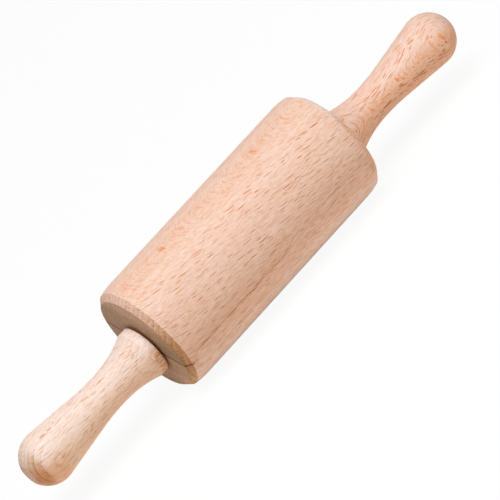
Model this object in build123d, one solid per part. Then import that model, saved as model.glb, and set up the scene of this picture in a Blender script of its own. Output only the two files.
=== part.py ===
from build123d import *
from math import asin, atan2, cos, hypot, sin, sqrt
import os

# Small revolving rolling pin in turned beech, in millimetres.
# X runs along the barrel's own axis, Z is up, and the origin is the barrel's centre.
# The left handle, axle and right handle are glued into one body, on which the barrel turns.
# The bore is much wider than the axle, so the axle lies in the bottom of it, below the barrel's axis.

# Barrel
barrel_diameter = 45.0
barrel_length = 100.0
barrel_chamfer = 2.1        # cut at 45 degrees round each end face
ease_depth = 0.55           # how far sanding has taken the barrel down at each chamfer
ease_length = 5.5           # the length over which it does so
bore_mouth_break = 0.5

# Axle
axle_diameter = 8.0
axle_end_break = 0.8
bore_slack = 3.5            # how much wider the bore is than the axle
running_clearance = 0.05    # left under the axle where it bears on the bore

# Handles, measured along the handle from its shoulder face
handle_length = 60.0
shoulder_diameter = 19.9
shoulder_band = 3.3         # straight rim beside the barrel
shoulder_edge_break = 0.35
hollow_fullness_share = 0.455   # of the hollow's length, to where its two end tangents meet
neck_diameter = 13.8
neck_place = 19.9
neck_turn_length = 5.5      # the neck turns into the grip over this length, twice
ball_diameter = 19.9        # the grip is a cone that runs into a ball at the handle's end
tip_flat_diameter = 8.0     # flat left where the turning was parted off
socket_depth = 26.0
socket_end_room = 0.6       # left for glue past the axle's end
socket_mouth_break = 0.5
glue_gap = 0.05             # round the axle in its sockets

# End play: the gaps between the barrel's faces and the shoulders
left_gap = 0.75
right_gap = 0.25

barrel_radius = barrel_diameter / 2
half_length = barrel_length / 2
axle_radius = axle_diameter / 2
bore_radius = axle_radius + bore_slack / 2
axle_drop = bore_slack / 2 - running_clearance


def turned(outline):
    """One solid of revolution about X from the edges of a closed outline in the XY plane."""
    return revolve(make_face(Wire(outline).edges()), Axis.X)


def barrel_end(side):
    """Outline of one end, from the barrel's surface in to the bore; side is 1 for right, -1 for left."""
    ease_start = (side * (half_length - barrel_chamfer - ease_length), barrel_radius)
    arris = (side * (half_length - barrel_chamfer), barrel_radius - ease_depth)
    face_edge = (side * half_length, barrel_radius - ease_depth - barrel_chamfer)
    mouth = (side * half_length, bore_radius + bore_mouth_break)
    bore_edge = (side * (half_length - bore_mouth_break), bore_radius)
    ease = TangentArc(ease_start, arris, tangent=(side, 0))
    edges = [ease, Line(arris, face_edge), Line(face_edge, mouth), Line(mouth, bore_edge)]
    return ease_start, bore_edge, edges


def make_barrel():
    left_top, left_bore, left_edges = barrel_end(-1)
    right_top, right_bore, right_edges = barrel_end(1)
    return turned([Line(left_top, right_top), *right_edges, Line(right_bore, left_bore), *left_edges])


def grip_outline():
    """Outer edges of a handle from its shoulder face to its tip."""
    shoulder_radius = shoulder_diameter / 2
    neck_radius = neck_diameter / 2
    ball_radius = ball_diameter / 2
    tip_radius = tip_flat_diameter / 2

    face_edge = (0, shoulder_radius - shoulder_edge_break)
    rim = (shoulder_edge_break, shoulder_radius)
    corner = (shoulder_band, shoulder_radius)
    hollow_pull = (shoulder_band + (neck_place - shoulder_band) * hollow_fullness_share, neck_radius)
    neck = (neck_place, neck_radius)

    # The grip's side is the line from the neck's turn that touches the ball
    turn_corner_place = neck_place + neck_turn_length
    ball_centre = handle_length - sqrt(ball_radius**2 - tip_radius**2)
    to_ball = ball_centre - turn_corner_place
    grip_angle = asin(ball_radius / hypot(to_ball, neck_radius)) - atan2(neck_radius, to_ball)
    grip_direction = (cos(grip_angle), sin(grip_angle))
    turn_corner = (turn_corner_place, neck_radius)
    grip_start = (
        turn_corner_place + neck_turn_length * cos(grip_angle),
        neck_radius + neck_turn_length * sin(grip_angle),
    )
    ball_start = (ball_centre - ball_radius * sin(grip_angle), ball_radius * cos(grip_angle))
    tip_edge = (handle_length, tip_radius)

    return [
        Line(face_edge, rim),
        Line(rim, corner),
        Bezier(corner, hollow_pull, neck),
        Bezier(neck, turn_corner, grip_start),
        Line(grip_start, ball_start),
        TangentArc(ball_start, tip_edge, tangent=grip_direction),
        Line(tip_edge, (handle_length, 0)),
    ]


def make_handle():
    """A handle standing along +X with its shoulder face at X = 0."""
    socket_radius = axle_radius + glue_gap
    mouth = (0, socket_radius + socket_mouth_break)
    mouth_bottom = (socket_mouth_break, socket_radius)
    socket_corner = (socket_depth, socket_radius)
    socket_end = (socket_depth, 0)
    face_edge = (0, shoulder_diameter / 2 - shoulder_edge_break)
    core = Polyline((handle_length, 0), socket_end, socket_corner, mouth_bottom, mouth, face_edge)
    return turned([*grip_outline(), *core.edges()])


def make_axle():
    """The dowel through the barrel, from the bottom of one socket to the bottom of the other."""
    into_handle = socket_depth - socket_end_room
    left_end = -half_length - left_gap - into_handle
    right_end = half_length + right_gap + into_handle
    outline = Polyline(
        (left_end, 0),
        (left_end, axle_radius - axle_end_break),
        (left_end + axle_end_break, axle_radius),
        (right_end - axle_end_break, axle_radius),
        (right_end, axle_radius - axle_end_break),
        (right_end, 0),
        close=True,
    )
    return turned(outline.edges())


handle = make_handle()
axle_line = Location((0, 0, -axle_drop))
left_place = axle_line * Location((-half_length - left_gap, 0, 0), (0, 180, 0))
right_place = axle_line * Location((half_length + right_gap, 0, 0))

nodes = {
    "barrel": make_barrel(),
    "axle": axle_line * make_axle(),
    "left_handle": left_place * handle,
    "right_handle": right_place * handle,
}

os.makedirs("parts", exist_ok=True)
for name, solid in nodes.items():
    solid.label = name
    export_step(solid, f"parts/{name}.step")
    print(name, round(solid.volume, 1), "mm3")
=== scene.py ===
from math import asin, atan2, cos, hypot, pi, radians, sin, sqrt

import bmesh
import bpy
from bpy.props import FloatProperty, FloatVectorProperty, IntProperty
from bpy.props import PointerProperty, StringProperty
from mathutils import Matrix, Vector


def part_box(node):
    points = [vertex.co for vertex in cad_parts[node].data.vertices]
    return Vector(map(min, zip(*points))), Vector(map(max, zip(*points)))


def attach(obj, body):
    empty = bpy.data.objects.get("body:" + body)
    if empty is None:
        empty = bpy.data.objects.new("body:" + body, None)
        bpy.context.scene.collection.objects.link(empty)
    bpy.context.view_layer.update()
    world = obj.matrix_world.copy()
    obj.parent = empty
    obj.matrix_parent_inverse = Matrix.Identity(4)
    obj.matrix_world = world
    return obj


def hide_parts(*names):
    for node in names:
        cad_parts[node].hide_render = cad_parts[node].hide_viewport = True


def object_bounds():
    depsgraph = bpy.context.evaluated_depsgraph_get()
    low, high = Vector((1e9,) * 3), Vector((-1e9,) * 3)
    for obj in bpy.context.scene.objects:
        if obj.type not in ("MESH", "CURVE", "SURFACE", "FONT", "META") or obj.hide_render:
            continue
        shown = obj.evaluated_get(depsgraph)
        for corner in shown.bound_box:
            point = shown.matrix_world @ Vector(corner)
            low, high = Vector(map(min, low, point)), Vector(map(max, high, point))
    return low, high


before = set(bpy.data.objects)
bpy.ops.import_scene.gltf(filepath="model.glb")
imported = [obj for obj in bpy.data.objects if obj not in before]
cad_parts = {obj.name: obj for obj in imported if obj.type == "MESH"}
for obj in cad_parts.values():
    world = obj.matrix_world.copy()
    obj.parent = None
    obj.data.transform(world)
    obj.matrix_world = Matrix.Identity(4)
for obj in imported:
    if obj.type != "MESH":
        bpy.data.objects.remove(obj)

bl_info = {
    "name": "Turned Beech Rolling Pin",
    "version": (1, 0, 0),
    "blender": (4, 5, 0),
    "location": "View3D > Sidebar > Rolling Pin",
    "description": "Dresses a small revolving rolling pin in turned, sanded beech",
    "category": "Object",
}

MM = 0.001
CAD_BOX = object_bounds()
BARREL_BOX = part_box("barrel")
LEFT_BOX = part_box("left_handle")
RIGHT_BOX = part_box("right_handle")


# Properties

def length_property(name, description, millimetres):
    return FloatProperty(
        name=name,
        description=description,
        default=millimetres * MM,
        min=0.0,
        unit="LENGTH",
        precision=5,
    )


def angle_property(name, description, degrees):
    return FloatProperty(
        name=name, description=description, default=radians(degrees), subtype="ANGLE"
    )


def share_property(name, description, value):
    return FloatProperty(name=name, description=description, default=value, min=0.0, max=4.0)


def count_property(name, description, value):
    return IntProperty(name=name, description=description, default=value, min=24)


def power_property(name, description, value):
    return FloatProperty(
        name=name, description=description, default=value, min=0.0, unit="POWER"
    )


def colour_property(name, description, value):
    return FloatVectorProperty(
        name=name,
        description=description,
        default=value,
        size=3,
        min=0.0,
        max=1.0,
        subtype="COLOR",
    )


def box_size(box, direction):
    """How far a box reaches in direction 0, 1 or 2, in millimetres."""
    return (box[1][direction] - box[0][direction]) / MM


class BarrelSizes(bpy.types.PropertyGroup):
    """Sizes of the turned barrel"""

    length: length_property("Length", "From end face to end face", box_size(BARREL_BOX, 0))
    diameter: length_property("Diameter", "Across the straight part", box_size(BARREL_BOX, 2))
    chamfer: length_property("Chamfer", "Width of the 45 degree chamfer at each end", 2.1)
    ease_depth: length_property("Ease depth", "How far sanding lowers it at the chamfer", 0.55)
    ease_length: length_property("Ease length", "Length over which sanding lowers it", 5.5)
    bore_diameter: length_property("Bore", "Diameter of the bore", 11.5)
    bore_break: length_property("Bore break", "Chamfer at the mouth of the bore", 0.5)
    arris_round: length_property("Worn arris", "Radius where sanding has dulled an edge", 0.22)
    sides: count_property("Sides", "Steps of the lathe round the barrel", 192)


class HandleSizes(bpy.types.PropertyGroup):
    """Sizes of the two turned handles"""

    length: length_property("Length", "From shoulder face to tip", box_size(RIGHT_BOX, 0))
    shoulder: length_property("Shoulder", "Diameter beside the barrel", 19.9)
    band: length_property("Band", "Length of the straight rim", 3.3)
    edge_break: length_property("Edge break", "Chamfer round the shoulder face", 0.35)
    hollow_fullness: share_property(
        "Hollow fullness", "Where the hollow's end tangents meet, as a share of its length", 0.455
    )
    neck: length_property("Neck", "Diameter at the waist", 13.8)
    neck_place: length_property("Neck place", "From shoulder face to waist", 19.9)
    neck_turn: length_property(
        "Neck turn", "Length over which the waist turns into the grip, twice", 5.5
    )
    ball: length_property("Ball", "Diameter of the rounded end", 19.9)
    tip_flat: length_property("Tip flat", "Diameter of the sanded flat at the tip", 8.0)
    tip_round: length_property("Tip round", "Radius between the ball and the flat", 0.225)
    shoulder_round: length_property("Shoulder round", "Radius at the shoulder's edges", 0.12)
    socket: length_property("Socket", "Diameter of the blind hole for the axle", 8.1)
    socket_depth: length_property("Socket depth", "Depth of the blind hole", 26.0)
    drop: length_property("Drop", "How far the handles hang below the barrel's axis", 1.7)
    sides: count_property("Sides", "Steps of the lathe round a handle", 144)


# Name and description of each thing set for a piece of wood
GROWTH_DIRECTION = ("Growth direction", "Direction away from the pith, round the pin's axis")
PITH_DISTANCE = ("Pith distance", "From the tree's centre to this piece")
FIBRE_LEAN = ("Fibre lean", "Slope of the fibres against the axis")
FIBRE_WAVE = ("Fibre wave", "How far the fibres wander over a few millimetres")
RING_PLACE = ("Ring place", "A ring boundary's distance from the axis, outwards")
RING_WIDTH = ("Ring width", "One year's growth")
RING_STRENGTH = ("Ring strength", "How dark the late wood is")
RAY_STRENGTH = ("Ray strength", "How dark the rays are")
STREAK_STRENGTH = ("Streak strength", "How dark the fibre streaks are")
PALE_WOOD = ("Pale wood", "Early wood")
WARM_WOOD = ("Warm wood", "Warmer patches")
FACE_TONE = ("Square end grain", "What is left of the colour where it is cut square across")
SLANT_TONE = (
    "Slant end grain",
    "What is left of the colour where the left end is cut at a slant and faces outwards",
)


class BarrelWood(bpy.types.PropertyGroup):
    """How the barrel was cut from the tree"""

    pith_angle: angle_property(*GROWTH_DIRECTION, 204.65)
    pith_distance: length_property(*PITH_DISTANCE, 134.0)
    fibre_lean: share_property(*FIBRE_LEAN, 0.105)
    fibre_wave: length_property(*FIBRE_WAVE, 0.14)
    ring_place: length_property(*RING_PLACE, 20.4)
    ring_width: length_property(*RING_WIDTH, 1.85)
    ring_strength: share_property(*RING_STRENGTH, 0.9)
    ray_strength: share_property(*RAY_STRENGTH, 1.0)
    streak_strength: share_property(*STREAK_STRENGTH, 0.8)
    pale: colour_property(*PALE_WOOD, (0.895, 0.716, 0.650))
    warm: colour_property(*WARM_WOOD, (0.880, 0.672, 0.592))
    face_tone: colour_property(*FACE_TONE, (0.80, 0.78, 0.73))
    slant_tone: colour_property(*SLANT_TONE, (0.73, 0.58, 0.38))


class LeftHandleWood(bpy.types.PropertyGroup):
    """How the left handle was cut from the tree"""

    pith_angle: angle_property(*GROWTH_DIRECTION, 177.0)
    pith_distance: length_property(*PITH_DISTANCE, 85.0)
    fibre_lean: share_property(*FIBRE_LEAN, 0.03)
    fibre_wave: length_property(*FIBRE_WAVE, 0.05)
    ring_place: length_property(*RING_PLACE, 4.6)
    ring_width: length_property(*RING_WIDTH, 1.75)
    ring_strength: share_property(*RING_STRENGTH, 1.0)
    ray_strength: share_property(*RAY_STRENGTH, 0.9)
    streak_strength: share_property(*STREAK_STRENGTH, 0.5)
    pale: colour_property(*PALE_WOOD, (0.950, 0.850, 0.828))
    warm: colour_property(*WARM_WOOD, (0.938, 0.808, 0.760))
    face_tone: colour_property(*FACE_TONE, (0.92, 0.85, 0.80))
    slant_tone: colour_property(*SLANT_TONE, (0.76, 0.57, 0.38))


class RightHandleWood(bpy.types.PropertyGroup):
    """How the right handle was cut from the tree"""

    pith_angle: angle_property(*GROWTH_DIRECTION, 262.0)
    pith_distance: length_property(*PITH_DISTANCE, 70.0)
    fibre_lean: share_property(*FIBRE_LEAN, 0.02)
    fibre_wave: length_property(*FIBRE_WAVE, 0.06)
    ring_place: length_property(*RING_PLACE, 3.0)
    ring_width: length_property(*RING_WIDTH, 2.4)
    ring_strength: share_property(*RING_STRENGTH, 0.25)
    ray_strength: share_property(*RAY_STRENGTH, 1.3)
    streak_strength: share_property(*STREAK_STRENGTH, 0.75)
    pale: colour_property(*PALE_WOOD, (0.930, 0.752, 0.700))
    warm: colour_property(*WARM_WOOD, (0.915, 0.708, 0.635))
    face_tone: colour_property(*FACE_TONE, (0.84, 0.76, 0.67))
    slant_tone: colour_property(*SLANT_TONE, (0.80, 0.64, 0.48))


class AxleWood(bpy.types.PropertyGroup):
    """How the axle dowel was cut from the tree"""

    pith_angle: angle_property(*GROWTH_DIRECTION, 90.0)
    pith_distance: length_property(*PITH_DISTANCE, 60.0)
    fibre_lean: share_property(*FIBRE_LEAN, 0.02)
    fibre_wave: length_property(*FIBRE_WAVE, 0.10)
    ring_place: length_property(*RING_PLACE, 1.0)
    ring_width: length_property(*RING_WIDTH, 2.0)
    ring_strength: share_property(*RING_STRENGTH, 0.5)
    ray_strength: share_property(*RAY_STRENGTH, 1.0)
    streak_strength: share_property(*STREAK_STRENGTH, 1.0)
    pale: colour_property(*PALE_WOOD, (0.820, 0.590, 0.450))
    warm: colour_property(*WARM_WOOD, (0.790, 0.540, 0.390))
    face_tone: colour_property(*FACE_TONE, (0.80, 0.78, 0.73))
    slant_tone: colour_property(*SLANT_TONE, (0.73, 0.58, 0.38))


class StudioSettings(bpy.types.PropertyGroup):
    """Camera, lamps and floor"""

    lens: FloatProperty(
        name="Lens", description="Focal length in millimetres", default=281.264, min=1.0
    )
    key_power: power_property("Key power", "Soft lamp above the pin", 9.9)
    left_power: power_property("Left power", "Soft lamp beyond the left handle", 3.0)
    right_power: power_property("Right power", "Soft lamp beyond the right handle", 1.8)
    sky_level: share_property("Sky level", "Light from all round", 0.055)
    key_colour: colour_property("Key colour", "Of the soft lamp above", (0.965, 0.99, 1.0))
    side_colour: colour_property("Side colour", "Of the two side lamps", (1.0, 0.97, 0.94))
    sky_colour: colour_property("Sky colour", "Of the light from all round", (1.0, 0.85, 0.70))
    floor_colour: colour_property(
        "Floor colour", "What the pin sees of the floor", (0.96, 0.82, 0.68)
    )
    floor_shadow: share_property("Floor shadow", "How much of a shadow the floor shows", 0.07)


# Shader nodes

WHITE = (1.0, 1.0, 1.0)


def rgba(colour):
    return (*colour, 1.0)


class Shader:
    """Puts shader nodes into one material and joins their sockets."""

    def __init__(self, material):
        material.use_nodes = True
        self.tree = material.node_tree
        self.tree.nodes.clear()

    def join(self, socket, value):
        if isinstance(value, bpy.types.NodeSocket):
            self.tree.links.new(value, socket)
        else:
            socket.default_value = value

    def node(self, kind, inputs=(), **settings):
        made = self.tree.nodes.new(kind)
        for name, value in settings.items():
            setattr(made, name, value)
        for key, value in dict(inputs).items():
            self.join(made.inputs[key], value)
        return made

    def math(self, operation, *values, clamp=False):
        made = self.node("ShaderNodeMath", operation=operation, use_clamp=clamp)
        for socket, value in zip(made.inputs, values):
            self.join(socket, value)
        return made.outputs[0]

    def times(self, first, *others, clamp=False):
        """The product of the values; clamp keeps it within 0 and 1."""
        for other in others:
            first = self.math("MULTIPLY", first, other, clamp=clamp)
        return first

    def add_part(self, whole, value, share):
        """The whole with that share of the value added."""
        return self.math("MULTIPLY_ADD", value, share, whole)

    def minus(self, value, other):
        return self.math("SUBTRACT", value, other)

    def over(self, value, other):
        return self.math("DIVIDE", value, other)

    def size(self, value):
        return self.math("ABSOLUTE", value)

    def hypotenuse(self, one, other):
        squares = self.math("POWER", one, 2.0), self.math("POWER", other, 2.0)
        return self.math("SQRT", self.math("ADD", *squares))

    def step(self, value, low, high):
        """0 below low, 1 above high, smooth between; the other way round where high is lower."""
        inputs = {0: value, 1: low, 2: high}
        if high < low:
            inputs = {0: value, 1: high, 2: low, 3: 1.0, 4: 0.0}
        return self.node("ShaderNodeMapRange", inputs, interpolation_type="SMOOTHSTEP").outputs[0]

    def remap(self, value, low, high):
        """A 0 to 1 value spread over low to high."""
        inputs = {0: value, 1: 0.0, 2: 1.0, 3: low, 4: high}
        return self.node("ShaderNodeMapRange", inputs).outputs[0]

    def parts(self, vector):
        return self.node("ShaderNodeSeparateXYZ", {0: vector}).outputs

    def stretched(self, place, grain):
        """A place's three coordinates, each divided by the size of the grain in its direction."""
        scaled = (self.over(value, size) for value, size in zip(place, grain))
        return self.node("ShaderNodeCombineXYZ", dict(enumerate(scaled))).outputs[0]

    def noise(self, place, grain, detail=2.0, roughness=0.5):
        """Smooth noise from -1 to 1 about, of that grain size in each direction of the place."""
        vector = self.stretched(place, grain)
        inputs = {"Vector": vector, "Scale": 1.0, "Detail": detail, "Roughness": roughness}
        made = self.node("ShaderNodeTexNoise", inputs)
        return self.math("MULTIPLY_ADD", made.outputs[0], 2.0, -1.0)

    def cells(self, vector):
        inputs = {"Vector": vector, "Scale": 1.0, "Randomness": 1.0}
        return self.node("ShaderNodeTexVoronoi", inputs).outputs

    def blend(self, share, first, second, mode="MIX"):
        made = self.node("ShaderNodeMix", data_type="RGBA", blend_type=mode)
        self.join(made.inputs[0], share)
        self.join(made.inputs[6], first)
        self.join(made.inputs[7], second)
        return made.outputs[2]

    def tint(self, colour, share, tone):
        """The colour times the tone, as far as the share goes."""
        return self.blend(share, colour, rgba(tone), "MULTIPLY")


# Wood. Lengths are in millimetres. A grain size has three: along the fibres, across them and
# outwards from the pith. A tone is what a mark leaves of red, green and blue.

SLOW_WAVES = (26.0, 16.0, 16.0)
SLOW_WAVE_HEIGHT = 0.35
QUICK_WAVES = (6.5, 5.0, 9.0)

RING_WAVES = (30.0, 20.0, 40.0)
RING_WAVE_HEIGHT = 0.5
RING_STRENGTHS = (0.45, 1.0)
LATE_WOOD_POWER = 2.2
RING_LINE = (0.80, 0.95)        # the part of the year over which its closing line darkens
RINGS_OUTSIDE = 0.08            # how much of a ring shows away from the end grain
LATE_TONE = (0.84, 0.74, 0.64)
LINE_TONE = (0.70, 0.54, 0.40)

# Rays: cell size, half height, half width, and the share that is left of the faintest
BOLD_RAYS = ((4.8, 0.92, 12.0), (1.0, 2.8), (0.085, 0.14), 0.05)
MIDDLING_RAYS = ((3.8, 0.50, 8.0), (0.7, 2.0), (0.05, 0.085), -0.05)
FINE_RAYS = ((2.2, 0.24, 8.0), (0.5, 1.2), (0.04, 0.065), 0.0)
RAYS_FLAT = (0.89, 0.985)       # how squarely the surface faces where the rays turn orange
BOLD_SHARE_FLAT = 0.3
MIDDLING_SHARE = 0.60
FINE_SHARES = (0.40, 0.65)
RAY_SHARE_AT_END = 0.5
# Ray dashes' tone where the surface faces down and where it faces up: darker below as painted
# shade, more orange above as painted light
SHADED_DASH_TONE = (0.58, 0.33, 0.16)
LIT_DASH_TONE = (0.77, 0.40, 0.19)
FLAT_RAY_TONE = (0.92, 0.59, 0.37)

FLECK_EDGE = (0.7, 2.0, 1.0)
FLECK_RAGGED = 0.55
FLECK_LEAN = -0.25
FLECK_FADE = (1.25, 0.65)
FLECK_SIDE = (1.5, 0.3)         # flecks show on one side of the pith's plane only

ARC_SPACING = 0.13
ARC_JITTER = (1.2, 2.0, 1.2)
ARC_JITTER_SHARE = 0.30
ARC_FADE = (0.30, 0.08)
ARCS_FLAT = (0.976, 0.993)
ARC_STRENGTH = 0.75
ARC_TONE = (1.0, 0.87, 0.75)

STREAKS = (5.0, 0.22, 0.30)
# Fibre streaks' tone where the surface faces down and where it faces up: darker below as painted
# shade
SHADED_STREAK_TONE = (0.88, 0.68, 0.52)
LIT_STREAK_TONE = (0.95, 0.72, 0.54)
BANDS = (11.0, 1.1, 1.3)
BAND_TONE = (0.97, 0.93, 0.89)
PORES = (1.0, 0.26, 0.26)
PORE_FADE = (0.2, 0.9)
PORE_STRENGTH = 0.5
PORE_TONE = (0.90, 0.72, 0.56)
PATCHES = (26.0, 6.0, 5.0)

# End grain, by how far the surface faces along the pin
SQUARE_CUT = (0.74, 0.95)
SLANT_CUT = (0.40, 0.72)
ANY_END = (0.25, 0.68)
SLANT_OUTWARDS = (0.10, 0.66)
SLANT_SEASONS = (0.72, 1.10)
# Painted light on surfaces that slant towards the right end
RIGHT_SLANT_HIGHLIGHT_TONE = (1.04, 1.07, 1.09)
TORN = ((0.9, 0.40, 1.8), (0.9, 1.8, 0.40))
TORN_FADE = (0.0, 0.55)
TORN_STRENGTH = 0.85
TORN_SHARE_RIGHT_SLANT = 0.3
TORN_TONE = (0.66, 0.48, 0.33)

# Heights of the marks in the bare surface
RAY_HEIGHT = -0.007
STREAK_HEIGHT = 0.005
PORE_HEIGHT = -0.006
TORN_HEIGHT = -0.03
SHINE = {"IOR": 1.45, "Specular IOR Level": 0.4}
ROUGHNESS = 0.56


class Grain:
    """Where each point of a piece lies in its tree, and how its surface is turned there."""

    def __init__(self, shader, wood, centre_height):
        angle = wood.pith_angle
        height = centre_height / MM
        pith = wood.pith_distance / MM
        coordinates = shader.node("ShaderNodeTexCoord").outputs
        turned = {
            "Vector": coordinates["Object"],
            "Scale": (1 / MM, 1 / MM, 1 / MM),
            "Rotation": (-angle, 0.0, 0.0),
            "Location": (0.0, -height * sin(angle), -height * cos(angle)),
        }
        placed = shader.node("ShaderNodeMapping", turned).outputs[0]
        turned = {"Vector": coordinates["Normal"], "Rotation": (-angle, 0.0, 0.0)}
        facing = shader.node("ShaderNodeMapping", turned, vector_type="VECTOR").outputs[0]
        self.x, outward, self.aside = shader.parts(placed)
        self.facing_x, self.facing_out, facing_aside = shader.parts(facing)
        self.facing_along = shader.size(self.facing_x)
        # 1 where the surface faces up: this sets the painted light and shade of the fibre streaks
        #                               and ray dashes
        self.upward = shader.step(shader.parts(coordinates["Normal"])[2], -0.1, 1.0)

        # Distance from the pith, and distance round it with the waves that the fibres have
        self.block = (self.x, self.aside, outward)
        from_pith = shader.math("ADD", outward, pith)
        distance = shader.hypotenuse(from_pith, self.aside)
        self.out = shader.minus(distance, pith)
        slow = shader.noise(self.block, SLOW_WAVES)
        quick = shader.noise(self.block, QUICK_WAVES)
        across = shader.times(shader.math("ARCTAN2", self.aside, from_pith), pith)
        across = shader.add_part(across, self.x, -wood.fibre_lean)
        across = shader.add_part(across, slow, SLOW_WAVE_HEIGHT)
        self.layered = shader.add_part(across, quick, wood.fibre_wave * 2 / MM)
        across = shader.add_part(across, quick, wood.fibre_wave / MM)
        self.years = (self.x, self.aside, self.out)
        self.fibres = (self.x, across, self.out)

        # How squarely the surface faces round the pith: 1 where the rays lie flat in it
        turned_out = shader.times(self.facing_out, shader.over(self.aside, distance))
        turned_aside = shader.times(facing_aside, shader.over(from_pith, distance))
        self.flatness = shader.size(shader.minus(turned_aside, turned_out))


def growth_rings(shader, grain, wood):
    """How far the year has run, its late wood, and the thin line that closes it."""
    wander = shader.noise(grain.block, RING_WAVES, detail=3.0)
    ring_at = shader.add_part(grain.out, wander, RING_WAVE_HEIGHT)
    ring = shader.over(shader.minus(ring_at, wood.ring_place / MM), wood.ring_width / MM)
    year = shader.math("FLOOR", ring)
    season = shader.minus(ring, year)
    draw = shader.node("ShaderNodeTexWhiteNoise", {"W": year}, noise_dimensions="1D")
    this_year = shader.remap(draw.outputs["Value"], *RING_STRENGTHS)
    cut_share = shader.remap(grain.facing_along, RINGS_OUTSIDE, 1.0)
    late = shader.times(shader.math("POWER", season, LATE_WOOD_POWER), this_year, cut_share)
    line = shader.times(shader.step(season, *RING_LINE), this_year, cut_share)
    return season, late, line


def lenses(shader, place, cell, half_height, half_width, faintest):
    """Thin upright rays that run outwards from the pith: 1 inside the boldest, 0 outside."""
    stretched = shader.stretched(place, cell)
    found = shader.cells(stretched)
    here = shader.parts(stretched)
    centre = shader.parts(found["Position"])
    chance = shader.parts(found["Color"])
    along = shader.times(shader.minus(here[0], centre[0]), cell[0])
    aside = shader.times(shader.minus(here[1], centre[1]), cell[1])
    depth = shader.size(shader.minus(here[2], centre[2]))
    height = shader.remap(chance[0], *half_height)
    width = shader.remap(chance[1], *half_width)
    tall = shader.math("POWER", shader.size(shader.over(along, height)), 2.0)
    wide = shader.over(shader.size(aside), width)
    body = shader.step(shader.math("ADD", tall, wide), 1.2, 0.8)
    body = shader.times(body, shader.step(depth, 0.75, 0.35))
    return shader.times(body, shader.remap(chance[2], faintest, 1.0), clamp=True)


def flecks(shader, grain, marks):
    """Single broad flecks where rays lie flat in the surface."""
    ragged = shader.noise(grain.years, FLECK_EDGE, detail=3.0)
    total = 0.0
    for place, level, half_length, half_height, strength in marks:
        above = shader.minus(grain.out, level)
        leaning = shader.add_part(grain.x, above, FLECK_LEAN)
        along = shader.over(shader.minus(leaning, place), half_length)
        reach = shader.hypotenuse(along, shader.over(above, half_height))
        mark = shader.step(shader.add_part(reach, ragged, FLECK_RAGGED), *FLECK_FADE)
        total = shader.math("MAXIMUM", total, shader.times(mark, strength))
    return shader.times(total, shader.step(grain.aside, *FLECK_SIDE))


def rays(shader, grain, strength, marks):
    """Rays of three sizes and the single flecks, and where all of them lie flat."""
    flat = shader.step(grain.flatness, *RAYS_FLAT)
    bold, middling, fine = (
        lenses(shader, grain.fibres, *sizes) for sizes in (BOLD_RAYS, MIDDLING_RAYS, FINE_RAYS)
    )
    bold = shader.times(bold, shader.remap(flat, 1.0, BOLD_SHARE_FLAT))
    fine = shader.times(fine, shader.remap(flat, *FINE_SHARES))
    ray = shader.math("MAXIMUM", bold, shader.times(middling, MIDDLING_SHARE))
    ray = shader.times(shader.math("MAXIMUM", ray, fine), strength, clamp=True)
    if marks:
        ray = shader.math("MAXIMUM", ray, flecks(shader, grain, marks))
    return ray, flat


def arcs(shader, grain):
    """Layers of the finest rays, seen as nested arcs where they lie flat."""
    jitter = shader.noise(grain.years, ARC_JITTER)
    layer = shader.add_part(shader.over(grain.layered, ARC_SPACING), jitter, ARC_JITTER_SHARE)
    from_middle = shader.size(shader.minus(shader.math("FRACT", layer), 0.5))
    arc = shader.step(from_middle, *ARC_FADE)
    return shader.times(arc, shader.step(grain.flatness, *ARCS_FLAT))


def end_cuts(shader, grain, season):
    """Where the surface is cut square across, and at a slant at the left and the right end."""
    low, high = SLANT_CUT
    square = shader.step(grain.facing_along, *SQUARE_CUT)
    left_slant = shader.times(
        shader.step(grain.facing_x, -low, -high),
        shader.step(grain.facing_out, *SLANT_OUTWARDS),
        shader.remap(season, *SLANT_SEASONS),
        clamp=True,
    )
    right_slant = shader.times(
        shader.step(grain.facing_x, low, high), shader.step(grain.facing_along, *SQUARE_CUT[::-1])
    )
    return square, left_slant, right_slant


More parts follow.
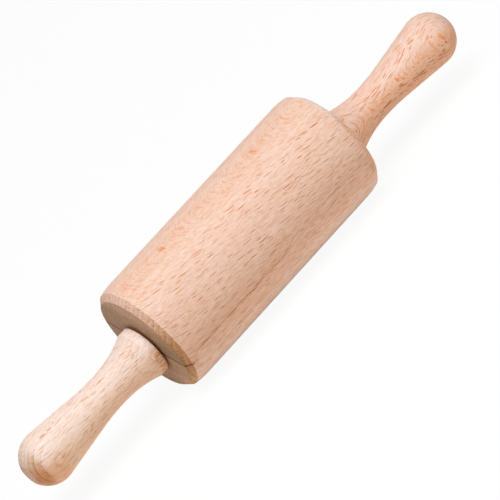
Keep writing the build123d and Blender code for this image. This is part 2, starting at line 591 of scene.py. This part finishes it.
def beech(name, wood, centre_height, marks=(), extra=None):
    """Bare sanded beech: rings about a far pith, rays, fibre streaks and browner end grain, with
    painted light and shade on the streaks, ray dashes and end slants.
    """
    material = bpy.data.materials.new(name)
    shader = Shader(material)
    grain = Grain(shader, wood, centre_height)
    season, late, line = growth_rings(shader, grain, wood)
    ray, flat = rays(shader, grain, wood.ray_strength, marks)
    arc = arcs(shader, grain)
    streak = shader.noise(grain.fibres, STREAKS, roughness=0.6)
    band = shader.noise(grain.fibres, BANDS)
    pore = shader.step(shader.noise(grain.fibres, PORES, detail=1.0), *PORE_FADE)
    patch = shader.noise(grain.fibres, PATCHES)

    colour = shader.blend(shader.step(patch, -0.6, 0.7), rgba(wood.pale), rgba(wood.warm))
    # Painted light and shade: fibre streaks darker on surfaces facing down, lighter on those
    # facing up
    streak_tone = shader.blend(grain.upward, rgba(SHADED_STREAK_TONE), rgba(LIT_STREAK_TONE))
    streak_share = shader.times(shader.step(streak, 0.5, -0.5), wood.streak_strength)
    colour = shader.blend(streak_share, colour, streak_tone, "MULTIPLY")
    colour = shader.tint(colour, shader.step(band, 0.4, -0.4), BAND_TONE)
    colour = shader.tint(colour, shader.times(late, wood.ring_strength), LATE_TONE)
    colour = shader.tint(colour, shader.times(line, wood.ring_strength), LINE_TONE)

    square, left_slant, right_slant = end_cuts(shader, grain, season)
    end = shader.step(grain.facing_along, *ANY_END)
    torn = (shader.noise(grain.block, size, roughness=0.6) for size in TORN)
    torn = shader.math("MAXIMUM", *torn)
    rough_cut = shader.times(end, shader.step(torn, *TORN_FADE))
    rough_cut = shader.times(rough_cut, shader.remap(right_slant, 1.0, TORN_SHARE_RIGHT_SLANT))
    colour = shader.tint(colour, square, wood.face_tone)
    # Browner slant end grain at the left end only; the right end's slants are lightened instead,
    # as painted light
    colour = shader.tint(colour, left_slant, wood.slant_tone)
    colour = shader.tint(colour, right_slant, RIGHT_SLANT_HIGHLIGHT_TONE)
    colour = shader.tint(colour, shader.times(rough_cut, TORN_STRENGTH), TORN_TONE)

    colour = shader.tint(colour, shader.times(arc, ARC_STRENGTH), ARC_TONE)
    # Painted light and shade: ray dashes more orange on surfaces facing up, darker on those
    # facing down
    dash_tone = shader.blend(grain.upward, rgba(SHADED_DASH_TONE), rgba(LIT_DASH_TONE))
    ray_tone = shader.blend(flat, dash_tone, rgba(FLAT_RAY_TONE))
    ray_share = shader.times(ray, shader.remap(end, 1.0, RAY_SHARE_AT_END))
    colour = shader.blend(ray_share, colour, ray_tone, "MULTIPLY")
    colour = shader.tint(colour, shader.times(pore, PORE_STRENGTH), PORE_TONE)

    height = shader.times(ray, RAY_HEIGHT)
    height = shader.add_part(height, streak, STREAK_HEIGHT)
    height = shader.add_part(height, pore, PORE_HEIGHT)
    height = shader.add_part(height, shader.times(end, torn), TORN_HEIGHT)
    if extra:
        colour, height = extra(shader, grain, colour, height)

    rough = shader.add_part(ROUGHNESS, streak, 0.05)
    rough = shader.add_part(rough, end, 0.12)
    rough = shader.add_part(rough, ray, -0.10)
    bump = shader.node("ShaderNodeBump", {"Strength": 1.0, "Distance": MM, "Height": height})
    look = {"Base Color": colour, "Roughness": rough, "Normal": bump.outputs[0], **SHINE}
    surface = shader.node("ShaderNodeBsdfPrincipled", look)
    shader.node("ShaderNodeOutputMaterial", {"Surface": surface.outputs[0]})
    return material


# Marks and painted light and shade of the barrel alone: x along it, aside from the growth
# direction, out from its axis
SKIN_RING = 22.30               # where one bold ring runs, just under the skin
SKIN_RING_WAVES = (4.5, 5.0, 20.0)
SKIN_RING_WAVE_HEIGHT = 0.16
SKIN_RING_RISE = 0.46           # how much further in it runs from the middle to the right
SKIN_RING_FALL = -0.30          # and how much of that it loses at the right end
SKIN_RING_GAPS = (1.6, 4.0, 20.0)
SKIN_RING_ENDS = (44.5, 41.5)
SKIN_LATE_WIDTH = 2.6
SKIN_LINE_WIDTH = (0.13, 0.03)
SKIN_LATE_TONE = (0.96, 0.92, 0.86)
SKIN_LINE_TONE = (0.82, 0.65, 0.46)
YOUNGER_WOOD_AND_BOUNCE_TONE = (1.02, 1.14, 1.26)
LEFT_CHAMFER = (-47.5, -48.1)
LEFT_FACE = (-49.2, -49.8)
RIGHT_CHAMFER = (47.5, 48.1)
FACE_TONE_AND_SHADOW = (0.76, 0.74, 0.64)
FACE_WEDGE_TONE = (0.76, 0.80, 0.78)
LEFT_CHAMFER_TONE = (0.84, 0.81, 0.73)
CHAMFER_HIGHLIGHT_TONE = (1.18, 1.35, 1.52)
RIGHT_CHAMFER_SHADE_TONE = (1.0, 0.89, 0.80)
CHECK_BEND = (3.0, 5.0, 1.0)
CHECK_BEND_WIDTH = 0.25
CHECK_HALF_WIDTHS = (0.08, 0.52)    # where it starts in the side, and at the end face
CHECK_TONE = (0.24, 0.15, 0.08)
CHECK_HEIGHT = -0.18


def skin_ring(shader, grain, colour):
    """One bold ring that the lathe has just reached, on the side away from the pith."""
    x, aside = grain.x, grain.aside
    wander = shader.noise(grain.years, SKIN_RING_WAVES, detail=5.0, roughness=0.7)
    rise = shader.step(x, 0.0, 12.0)
    ring_at = shader.add_part(grain.out, rise, SKIN_RING_RISE)
    ring_at = shader.add_part(ring_at, shader.step(x, 37.0, 46.5), SKIN_RING_FALL)
    ring_at = shader.add_part(ring_at, wander, SKIN_RING_WAVE_HEIGHT)
    under = shader.minus(SKIN_RING, ring_at)
    near = shader.step(aside, 1.5, -0.5)
    near_share = shader.times(
        shader.remap(near, 0.55, 1.0), shader.math("MAXIMUM", near, shader.step(x, 24.0, 14.0))
    )
    inside = shader.step(under, -0.02, 0.02)
    late = shader.times(shader.step(under, SKIN_LATE_WIDTH, 0.0), inside, near_share)
    late = shader.times(late, shader.remap(rise, 0.8, 0.45))
    unbroken = shader.step(shader.noise(grain.years, SKIN_RING_GAPS), -0.45, 0.15)
    line = shader.times(shader.step(under, *SKIN_LINE_WIDTH), inside, near_share, unbroken)
    line = shader.times(line, shader.remap(rise, 1.0, 0.8))
    line = shader.times(line, shader.step(shader.size(x), *SKIN_RING_ENDS))
    colour = shader.tint(colour, late, SKIN_LATE_TONE)
    return shader.tint(colour, line, SKIN_LINE_TONE)


def barrel_marks(shader, grain, colour, height):
    """The barrel's own marks: the ring under its skin, its ends, the check across one, and
    painted light and shade on its ends and its low side.
    """
    x, aside, out = grain.x, grain.aside, grain.out
    colour = skin_ring(shader, grain, colour)
    # Paler, whiter wood low on the side beyond the pith: partly younger wood, partly painted
    # light bounced from the floor
    younger_wood_and_bounce_light = shader.times(shader.step(aside, 0.0, 5.5), shader.step(out, 17.0, 20.0))
    colour = shader.tint(colour, younger_wood_and_bounce_light, YOUNGER_WOOD_AND_BOUNCE_TONE)

    # The left end face is darker over its middle and past its check, partly as painted shadow of
    # the left handle, and darker still in a wedge beside the check
    face = shader.step(x, *LEFT_FACE)
    darker_face_and_shadow = shader.times(shader.step(aside, -16.0, -11.0), shader.step(aside, 13.0, 7.0), face)
    colour = shader.tint(colour, darker_face_and_shadow, FACE_TONE_AND_SHADOW)
    wedge = shader.times(shader.step(aside, -11.0, -3.0), shader.step(aside, 0.2, -0.2))
    wedge = shader.times(wedge, shader.step(out, 0.0, 7.0), face)
    colour = shader.tint(colour, wedge, FACE_WEDGE_TONE)

    # The chamfers: browner low down on the left one; a painted highlight high on the right one
    # and painted shade low on it
    left = shader.times(shader.step(x, *LEFT_CHAMFER), shader.step(x, *LEFT_FACE[::-1]))
    left = shader.times(left, shader.step(aside, -17.0, -9.0), shader.step(aside, 11.0, 5.0))
    colour = shader.tint(colour, left, LEFT_CHAMFER_TONE)
    right = shader.step(x, *RIGHT_CHAMFER)
    # Painted highlight high on the right chamfer
    chamfer_highlight = shader.times(right, shader.step(aside, -17.5, -20.0))
    colour = shader.tint(colour, chamfer_highlight, CHAMFER_HIGHLIGHT_TONE)
    # Painted shade low on the right chamfer
    low = shader.times(right, shader.step(aside, -18.5, -14.0))
    colour = shader.tint(colour, low, RIGHT_CHAMFER_SHADE_TONE)

    # A drying check runs across the left end face and a little way into the side
    bend = shader.noise((x, out, 0.0), CHECK_BEND, detail=3.0)
    offset = shader.size(shader.add_part(aside, bend, CHECK_BEND_WIDTH))
    width = shader.remap(shader.step(x, -46.0, -48.3), *CHECK_HALF_WIDTHS)
    check = shader.math("SUBTRACT", 1.0, shader.over(offset, width), clamp=True)
    check = shader.times(shader.math("POWER", check, 0.5), shader.step(x, -44.5, -48.0))
    colour = shader.tint(colour, check, CHECK_TONE)
    return colour, shader.add_part(height, check, CHECK_HEIGHT)


# Marks, painted light and painted shade of a handle alone, by the distance out from its shoulder
# face
SHOULDER_RIM = (3.8, 2.9)
SHOULDER_CORNER = 3.3
SHOULDER_EDGE = (0.55, 0.15)
SHOULDER_TEARS = (2.6, 0.36, 0.36)
TEAR_FADE = (0.02, 0.34)
# Tear streaks' strength on the rim's other side and on its outer, shaded side, where they are
# stronger as painted shade
TEAR_STRENGTHS = (0.35, 1.0)
TEAR_TONE = (0.52, 0.33, 0.19)
TEAR_HEIGHT = -0.05
BALL_END = (45.0, 53.0)
BALL_END_SHADE_TONE = (0.98, 0.84, 0.74)
# Painted highlight on the rim's other side, and painted shade on its outer, shaded side
RIM_HIGHLIGHT = (1.0, 0.88, 0.83)
RIM_HIGHLIGHT_SHARE = 0.4
RIM_SHADE_TONE = (0.98, 0.85, 0.72)
# Paler streaks on the rim, and the painted highlight along the arris
PALE_STREAK_AND_HIGHLIGHT = (1.0, 0.90, 0.82)
RIM_LIGHT_SHARE = 0.6
ARRIS_HIGHLIGHT_SHARE = 0.4
EDGE_TONE = (0.86, 0.58, 0.33)

# How strongly painted shade browns each handle's rim and ball end and a painted highlight pales
# the rim's other side, where its shaded side begins (aside and outwards), and the painted shade's
# tone on that side
LEFT_PAINTED_SHADING = (1.0, (-4.0, 1.0), (0.0, 4.0), (1.0, 0.91, 0.81))
RIGHT_PAINTED_SHADING = (0.2, (0.0, -3.0), (-2.5, 1.5), (1.0, 0.88, 0.76))


def shoulder_marks(shoulder_face, way, painted_shading, shade_aside, shade_out, shade_tone):
    """A handle's own marks: painted shade on its shaded side, painted highlights on its rim, its
    streaked rim and its edge, browned by burnishing.
    """

    def add(shader, grain, colour, height):
        aside, out = grain.aside, grain.out
        from_face = shader.times(shader.minus(grain.x, shoulder_face / MM), way)
        rim = shader.step(from_face, *SHOULDER_RIM)
        outer = shader.times(shader.step(aside, -5.0, 1.5), shader.step(out, 0.0, 6.0))
        tear = shader.noise(grain.years, SHOULDER_TEARS, roughness=0.6)
        dark = shader.times(rim, shader.step(tear, *TEAR_FADE))
        # Tear streaks, stronger on the outer, shaded side as painted shade
        dark = shader.times(dark, shader.remap(outer, *TEAR_STRENGTHS))
        light = shader.times(rim, shader.step(tear, -0.05, -0.5))

        # Painted shade: a warmer, darker tone over the handle's shaded side
        under = shader.times(shader.step(aside, *shade_aside), shader.step(out, *shade_out))
        colour = shader.tint(colour, under, shade_tone)
        # Painted shade: the ball end browner on its shaded side
        ball_end = shader.times(under, shader.step(from_face, *BALL_END), painted_shading)
        colour = shader.tint(colour, ball_end, BALL_END_SHADE_TONE)
        # Painted highlight: the rim paler on the side away from its shaded side
        pale = shader.times(rim, shader.minus(1.0, outer), painted_shading, RIM_HIGHLIGHT_SHARE)
        colour = shader.blend(pale, colour, rgba(RIM_HIGHLIGHT))
        # Painted shade: the rim browner on its outer, shaded side
        colour = shader.tint(colour, shader.times(rim, outer, painted_shading), RIM_SHADE_TONE)
        colour = shader.tint(colour, dark, TEAR_TONE)
        colour = shader.blend(shader.times(light, RIM_LIGHT_SHARE), colour, rgba(PALE_STREAK_AND_HIGHLIGHT))

        # Painted highlight along the arris between the band and the hollow
        arris = shader.step(shader.size(shader.minus(from_face, SHOULDER_CORNER)), 0.5, 0.0)
        arris = shader.times(arris, shader.step(tear, 0.3, -0.3), ARRIS_HIGHLIGHT_SHARE)
        colour = shader.blend(arris, colour, rgba(PALE_STREAK_AND_HIGHLIGHT))
        colour = shader.tint(colour, shader.step(from_face, *SHOULDER_EDGE), EDGE_TONE)
        return colour, shader.add_part(height, dark, TEAR_HEIGHT)

    return add


# Broad flecks: place along the pin, place outwards from the pith, half length, half height
# (millimetres), strength
BARREL_FLECKS = (
    (-44.6, -2.1, 0.7, 1.2, 0.45), (-25.5, -2.2, 1.2, 1.6, 0.85),
    (-19.6, -2.1, 0.35, 1.3, 0.5), (-15.5, -2.1, 0.9, 1.6, 0.6),
    (-5.4, -1.9, 0.5, 1.8, 0.55), (3.2, 1.2, 0.9, 0.5, 0.65),
    (1.9, -2.2, 0.4, 2.2, 0.45), (11.0, -2.0, 0.35, 1.4, 0.35),
    (15.0, 0.5, 0.8, 0.6, 0.55), (15.0, -3.6, 0.8, 0.6, 0.45),
    (21.9, -1.8, 0.9, 1.8, 0.9), (27.0, -2.0, 0.5, 1.4, 0.45),
    (37.3, 0.5, 0.7, 0.5, 0.55), (37.0, -3.8, 0.6, 0.5, 0.45),
)
RIGHT_FLECKS = (
    (54.7, -5.4, 0.7, 0.5, 0.7), (55.0, 0.7, 0.5, 0.6, 0.7),
    (59.9, 0.4, 0.4, 0.7, 0.7), (63.7, -2.9, 2.4, 0.28, 0.8),
    (64.6, 3.1, 1.6, 0.25, 0.7), (65.6, -6.6, 1.5, 0.3, 0.4),
    (65.7, 0.5, 0.5, 0.6, 0.9), (67.7, -1.1, 0.5, 0.3, 0.6),
    (68.2, 3.5, 0.9, 0.25, 0.8), (68.3, 0.9, 0.4, 0.3, 0.7),
    (70.8, 0.3, 0.4, 0.3, 0.9), (71.4, 3.1, 2.6, 0.35, 0.9),
    (71.5, -2.1, 2.0, 0.3, 0.9), (75.2, -5.6, 1.8, 0.3, 0.45),
    (76.0, -1.9, 0.5, 0.3, 0.5), (77.8, -1.3, 0.5, 0.4, 0.5),
    (79.5, 1.8, 1.0, 0.7, 1.0), (79.7, -0.8, 0.75, 1.0, 1.0),
    (81.6, 0.6, 0.6, 0.55, 0.95), (87.1, 0.5, 0.45, 0.35, 0.9),
    (87.7, -2.7, 1.3, 0.28, 0.85), (88.3, 4.2, 1.8, 0.3, 0.9),
    (89.0, -7.7, 2.0, 0.3, 0.5), (89.3, 0.5, 0.5, 0.45, 0.85),
    (89.9, -1.6, 0.3, 0.25, 0.8), (91.7, 0.6, 0.4, 0.3, 0.85),
    (93.1, -6.1, 1.6, 0.3, 0.8), (93.2, -0.7, 0.3, 0.3, 0.6),
    (93.3, 2.4, 0.5, 0.3, 0.7), (97.1, 1.7, 0.4, 0.35, 0.6),
    (97.5, 4.7, 0.7, 0.3, 0.8), (97.8, -2.9, 0.9, 0.28, 0.8),
    (99.2, -2.2, 0.7, 0.28, 0.85), (99.4, 4.3, 0.8, 0.3, 0.8),
    (99.8, 2.5, 0.4, 0.3, 0.9), (100.4, -8.1, 1.0, 0.3, 0.5),
    (101.6, -0.4, 0.45, 0.6, 0.9), (101.8, 2.8, 0.5, 0.7, 0.9),
    (102.0, 1.0, 0.5, 0.9, 1.0),
)
LEFT_FLECKS = (
    (-99.5, 5.4, 1.3, 0.35, 0.85), (-96.2, 5.0, 1.2, 0.3, 0.8),
    (-84.7, 1.9, 0.5, 0.3, 0.5), (-79.8, 4.7, 1.8, 0.3, 0.6),
    (-76.5, 5.0, 1.6, 0.3, 0.5), (-71.7, 3.8, 1.8, 0.3, 0.85),
    (-58.3, 7.2, 1.0, 0.3, 0.5),
)


# Lathe work

PLANE_SIZE = 1.0
MERGE_REACH = 2e-6             # metres
SMOOTH_ANGLE = radians(34.0)
ROUND_STEPS = 3
EASE_STEPS = 8
BORE_STEPS = 12
BARREL_SIDE_STEPS = 20
ARRIS_SHARES = (0.7, 1.0, 0.6)  # how worn the chamfer's two edges and the bore's mouth are
TIP_RING_SHARE = 0.55           # one more ring of faces on the tip's flat
BALL_STEPS = 30
GRIP_STEPS = 8
NECK_STEPS = 10
HOLLOW_STEPS = 18


def deselect_all():
    if bpy.context.object and bpy.context.object.mode != "OBJECT":
        bpy.ops.object.mode_set(mode="OBJECT")
    bpy.ops.object.select_all(action="DESELECT")


def turn_on_lathe(name, outline, axis_height, sides, closed):
    """Draws the outline by extruding one vertex point by point, and spins it about the axis."""
    deselect_all()
    first = Vector((outline[0][0], 0.0, outline[0][1] + axis_height))
    bpy.ops.mesh.primitive_plane_add(size=PLANE_SIZE, location=first)
    piece = bpy.context.object
    piece.name = name
    piece.data.name = name
    bpy.ops.object.mode_set(mode="EDIT")
    bpy.ops.mesh.select_all(action="SELECT")
    bpy.ops.mesh.merge(type="CENTER")
    for start, stop in zip(outline, outline[1:]):
        step = (stop[0] - start[0], 0.0, stop[1] - start[1])
        bpy.ops.mesh.extrude_vertices_move(TRANSFORM_OT_translate={"value": step})
    if closed:
        mesh = bmesh.from_edit_mesh(piece.data)
        for vertex in mesh.verts:
            vertex.select_set(len(vertex.link_edges) == 1)
        bmesh.update_edit_mesh(piece.data)
        bpy.ops.mesh.edge_face_add()
    bpy.ops.mesh.select_all(action="SELECT")
    centre = (0.0, 0.0, axis_height)
    bpy.ops.mesh.spin(steps=sides, angle=2 * pi, center=centre, axis=(1.0, 0.0, 0.0))
    bpy.ops.mesh.select_all(action="SELECT")
    bpy.ops.mesh.remove_doubles(threshold=MERGE_REACH)
    bpy.ops.mesh.normals_make_consistent(inside=False)
    bpy.ops.object.mode_set(mode="OBJECT")
    bpy.ops.object.transform_apply(location=True, rotation=True, scale=True)
    bpy.ops.object.shade_smooth_by_angle(angle=SMOOTH_ANGLE)
    return piece


def curve_points(start, pull, stop, steps):
    """Points of the curve from start to stop whose ends both aim at pull."""
    start, pull, stop = Vector(start), Vector(pull), Vector(stop)
    points = []
    for k in range(steps + 1):
        share = k / steps
        points.append(tuple(start.lerp(pull, share).lerp(pull.lerp(stop, share), share)))
    return points


def rounded(points, corner, radius):
    """The points of a small arc that takes the sharpness off that corner of the outline."""
    before, at, after = (Vector(points[corner + k]) for k in (-1, 0, 1))
    to_before = (before - at).normalized()
    to_after = (after - at).normalized()
    half = to_before.angle(to_after) / 2
    reach = radius / (sin(half) / cos(half))
    return curve_points(at + to_before * reach, at, at + to_after * reach, ROUND_STEPS)


def soften(points, corners):
    """The outline with the named corners rounded: corners is {place in the list: radius}."""
    out = []
    for k, point in enumerate(points):
        out.extend(rounded(points, k, corners[k]) if k in corners else [tuple(point)])
    return out


def finish_piece(piece, material, body, node):
    piece.data.materials.clear()
    piece.data.materials.append(material)
    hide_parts(node)
    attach(piece, body)
    deselect_all()


def barrel_outline(sizes):
    """Distance along the barrel against radius, once round the wall from the right end."""
    half = sizes.length / 2
    radius = sizes.diameter / 2
    bore = sizes.bore_diameter / 2
    right = []
    for k in range(EASE_STEPS + 1):
        share = k / EASE_STEPS
        along = half - sizes.chamfer - sizes.ease_length * (1 - share)
        right.append((along, radius - sizes.ease_depth * share**2))
    arris = len(right) - 1
    right += [
        (half, radius - sizes.ease_depth - sizes.chamfer),
        (half, bore + sizes.bore_break),
        (half - sizes.bore_break, bore),
    ]
    worn = {arris + k: sizes.arris_round * share for k, share in enumerate(ARRIS_SHARES)}
    right = soften(right, worn)
    left = [(-x, r) for x, r in reversed(right)]
    bore_start, side_end = right[-1][0], -right[0][0]
    wall = [(bore_start * (1 - 2 * k / BORE_STEPS), bore) for k in range(1, BORE_STEPS)]
    side = [
        (side_end * (1 - 2 * k / BARREL_SIDE_STEPS), radius) for k in range(1, BARREL_SIDE_STEPS)
    ]
    return right + wall + left + side


def handle_outline(sizes):
    """Distance from the shoulder face against radius, from the tip round to the socket's end."""
    shoulder = sizes.shoulder / 2
    neck = sizes.neck / 2
    ball = sizes.ball / 2
    tip = sizes.tip_flat / 2
    socket = sizes.socket / 2

    # The grip's side is the line from the neck's turn that touches the ball
    ball_centre = sizes.length - sqrt(ball**2 - tip**2)
    turn_corner = sizes.neck_place + sizes.neck_turn
    to_ball = ball_centre - turn_corner
    lean = asin(ball / hypot(to_ball, neck)) - atan2(neck, to_ball)
    grip_start = (turn_corner + sizes.neck_turn * cos(lean), neck + sizes.neck_turn * sin(lean))
    last = atan2(tip, sizes.length - ball_centre)
    first = pi / 2 + lean

    points = [(sizes.length, 0.0), (sizes.length, tip * TIP_RING_SHARE)]
    tip_corner = len(points)
    for k in range(BALL_STEPS + 1):
        turn = last + (first - last) * k / BALL_STEPS
        points.append((ball_centre + ball * cos(turn), ball * sin(turn)))
    ball_end = Vector(points[-1])
    for k in range(1, GRIP_STEPS):
        points.append(tuple(ball_end.lerp(Vector(grip_start), k / GRIP_STEPS)))
    waist = (sizes.neck_place, neck)
    points += curve_points(grip_start, (turn_corner, neck), waist, NECK_STEPS)
    pull = sizes.band + (sizes.neck_place - sizes.band) * sizes.hollow_fullness
    points += curve_points(waist, (pull, neck), (sizes.band, shoulder), HOLLOW_STEPS)[1:]
    rim = len(points)
    points += [
        (sizes.edge_break, shoulder),
        (0.0, shoulder - sizes.edge_break),
        (0.0, socket + sizes.edge_break),
        (sizes.edge_break, socket),
        (sizes.socket_depth, socket),
        (sizes.socket_depth, 0.0),
    ]
    edges = {rim: sizes.shoulder_round, rim + 1: sizes.shoulder_round}
    return soften(points, {tip_corner: sizes.tip_round, **edges})


# Operators

class ROLLINGPIN_OT_barrel(bpy.types.Operator):
    """Turn the barrel with its eased ends, chamfers and bore"""

    bl_idname = "rolling_pin.barrel"
    bl_label = "Barrel"

    def execute(self, context):
        scene = context.scene
        sizes = scene.barrel_sizes
        outline = barrel_outline(sizes)
        piece = turn_on_lathe("beech_barrel", outline, 0.0, sizes.sides, closed=True)
        material = beech("beech barrel", scene.barrel_wood, 0.0, BARREL_FLECKS, barrel_marks)
        finish_piece(piece, material, "barrel", "barrel")
        return {"FINISHED"}


class ROLLINGPIN_OT_handle(bpy.types.Operator):
    """Turn one handle with its shoulder, waist, grip and ball end"""

    bl_idname = "rolling_pin.handle"
    bl_label = "Handle"
    side: StringProperty(name="Side", description="left or right", default="left")

    def execute(self, context):
        scene = context.scene
        sizes = scene.handle_sizes
        if self.side == "left":
            face, way = LEFT_BOX[1][0], -1
            wood, broad, painted_shading = scene.left_handle_wood, LEFT_FLECKS, LEFT_PAINTED_SHADING
        else:
            face, way = RIGHT_BOX[0][0], 1
            wood, broad, painted_shading = scene.right_handle_wood, RIGHT_FLECKS, RIGHT_PAINTED_SHADING
        outline = [(face + way * x, r) for x, r in handle_outline(sizes)]
        name = f"beech_{self.side}_handle"
        piece = turn_on_lathe(name, outline, -sizes.drop, sizes.sides, closed=False)
        marks = shoulder_marks(face, way, *painted_shading)
        material = beech(f"beech {self.side} handle", wood, -sizes.drop, broad, marks)
        finish_piece(piece, material, "handles", f"{self.side}_handle")
        return {"FINISHED"}


class ROLLINGPIN_OT_axle(bpy.types.Operator):
    """Give the axle dowel its beech"""

    bl_idname = "rolling_pin.axle"
    bl_label = "Axle"

    def execute(self, context):
        scene = context.scene
        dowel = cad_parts["axle"]
        material = beech("beech axle", scene.axle_wood, -scene.handle_sizes.drop)
        for slot in dowel.material_slots:
            slot.material = material
        return {"FINISHED"}


# The camera's place and directions, fitted to the photo
CAMERA_PLACE = Vector((-0.395014, -1.165272, 0.537941))
CAMERA_RIGHT = Vector((0.645152, -0.491680, -0.584833))
CAMERA_UP = Vector((0.705221, 0.088655, 0.703422))
CAMERA_BACK = Vector((-0.294011, -0.866251, 0.403939))
SENSOR_WIDTH = 36.0
NEAR_CLIP = 0.05

# The stage, in metres
FLOOR_SIZE = 8.0
FLOOR_GAP = 0.0001
LAMP_SIZE = 0.7
KEY_PLACE = (-0.02, -0.40, 1.045)
LEFT_PLACE = (-0.65, -0.30, 0.90)
RIGHT_PLACE = (0.75, -0.20, 0.90)


def soft_lamp(name, place, power, colour):
    """A round lamp at that place, turned towards the pin."""
    data = bpy.data.lights.new(name, "AREA")
    data.shape = "DISK"
    data.size = LAMP_SIZE
    data.energy = power
    data.color = colour
    lamp = bpy.data.objects.new(name, data)
    lamp.location = place
    lamp.rotation_euler = (-Vector(place)).to_track_quat("-Z", "Y").to_euler()
    bpy.context.scene.collection.objects.link(lamp)


def place_camera(scene, lens):
    data = bpy.data.cameras.new("camera")
    data.sensor_width = SENSOR_WIDTH
    data.lens = lens
    data.clip_start = NEAR_CLIP
    camera = bpy.data.objects.new("camera", data)
    turn = Matrix((CAMERA_RIGHT, CAMERA_UP, CAMERA_BACK)).transposed().to_4x4()
    camera.matrix_world = Matrix.Translation(CAMERA_PLACE) @ turn
    scene.collection.objects.link(camera)
    scene.camera = camera


def seen_white(shader):
    """1 for what the camera, gloss or glass sees, 0 for soft light."""
    path = shader.node("ShaderNodeLightPath").outputs
    seen = shader.math("MAXIMUM", path["Is Camera Ray"], path["Is Glossy Ray"])
    return shader.math("MAXIMUM", seen, path["Is Transmission Ray"])


def mixed(shader, share, first, second):
    """One surface or background that goes over from the first to the second by the share."""
    mix = {0: share, 1: first.outputs[0], 2: second.outputs[0]}
    return shader.node("ShaderNodeMixShader", mix)


def floor_material(studio):
    """White with a faint shadow for the camera, and the floor's own colour for the pin."""
    material = bpy.data.materials.new("pale floor")
    shader = Shader(material)
    dull = shader.node("ShaderNodeBsdfDiffuse", {"Color": rgba(studio.floor_colour)})
    lit = shader.node("ShaderNodeBsdfDiffuse", {"Color": rgba(WHITE)})
    glow = shader.node("ShaderNodeEmission", {"Color": rgba(WHITE), "Strength": 1.0})
    white = mixed(shader, studio.floor_shadow, glow, lit)
    both = mixed(shader, seen_white(shader), dull, white)
    shader.node("ShaderNodeOutputMaterial", {"Surface": both.outputs[0]})
    return material


def studio_sky(studio):
    """White for the camera, and a weak warm light from all round for the pin."""
    world = bpy.data.worlds.new("studio")
    shader = Shader(world)
    sky = {"Color": rgba(studio.sky_colour), "Strength": studio.sky_level}
    around = shader.node("ShaderNodeBackground", sky)
    plain = shader.node("ShaderNodeBackground", {"Color": rgba(WHITE), "Strength": 1.0})
    both = mixed(shader, seen_white(shader), around, plain)
    shader.node("ShaderNodeOutputWorld", {"Surface": both.outputs[0]})
    return world


class ROLLINGPIN_OT_stage(bpy.types.Operator):
    """Lay the pale floor, hang the soft lamps and place the camera"""

    bl_idname = "rolling_pin.stage"
    bl_label = "Stage"

    def execute(self, context):
        scene = context.scene
        studio = scene.studio
        deselect_all()
        under_pin = (0.0, 0.0, CAD_BOX[0][2] - FLOOR_GAP)
        bpy.ops.mesh.primitive_plane_add(size=FLOOR_SIZE, location=under_pin)
        floor = context.object
        floor.name = "floor"
        bpy.ops.object.transform_apply(location=True, rotation=True, scale=True)
        floor.data.materials.append(floor_material(studio))

        scene.world = studio_sky(studio)
        soft_lamp("key lamp", KEY_PLACE, studio.key_power, studio.key_colour)
        soft_lamp("left side lamp", LEFT_PLACE, studio.left_power, studio.side_colour)
        soft_lamp("right side lamp", RIGHT_PLACE, studio.right_power, studio.side_colour)
        place_camera(scene, studio.lens)
        scene.view_settings.view_transform = "Standard"
        deselect_all()
        return {"FINISHED"}


class ROLLINGPIN_PT_panel(bpy.types.Panel):
    """Lists the pieces of the rolling pin"""

    bl_label = "Rolling Pin"
    bl_idname = "ROLLINGPIN_PT_panel"
    bl_space_type = "VIEW_3D"
    bl_region_type = "UI"
    bl_category = "Rolling Pin"

    def draw(self, context):
        scene = context.scene
        layout = self.layout
        for name, group in GROUPS.items():
            box = layout.box()
            box.label(text=group.__doc__)
            for field in group.__annotations__:
                box.prop(getattr(scene, name), field)
        layout.operator("rolling_pin.barrel")
        layout.operator("rolling_pin.handle", text="Left handle").side = "left"
        layout.operator("rolling_pin.handle", text="Right handle").side = "right"
        layout.operator("rolling_pin.axle")
        layout.operator("rolling_pin.stage")


GROUPS = {
    "barrel_sizes": BarrelSizes,
    "handle_sizes": HandleSizes,
    "barrel_wood": BarrelWood,
    "left_handle_wood": LeftHandleWood,
    "right_handle_wood": RightHandleWood,
    "axle_wood": AxleWood,
    "studio": StudioSettings,
}
CLASSES = (
    ROLLINGPIN_OT_barrel,
    ROLLINGPIN_OT_handle,
    ROLLINGPIN_OT_axle,
    ROLLINGPIN_OT_stage,
    ROLLINGPIN_PT_panel,
)


def register():
    for name, group in GROUPS.items():
        bpy.utils.register_class(group)
        setattr(bpy.types.Scene, name, PointerProperty(type=group))
    for kind in CLASSES:
        bpy.utils.register_class(kind)


def unregister():
    for kind in reversed(CLASSES):
        bpy.utils.unregister_class(kind)
    for name, group in reversed(GROUPS.items()):
        delattr(bpy.types.Scene, name)
        bpy.utils.unregister_class(group)


def main():
    register()
    bpy.ops.rolling_pin.stage()
    bpy.ops.rolling_pin.barrel()
    bpy.ops.rolling_pin.handle(side="left")
    bpy.ops.rolling_pin.handle(side="right")
    bpy.ops.rolling_pin.axle()


if __name__ == "__main__":
    main()
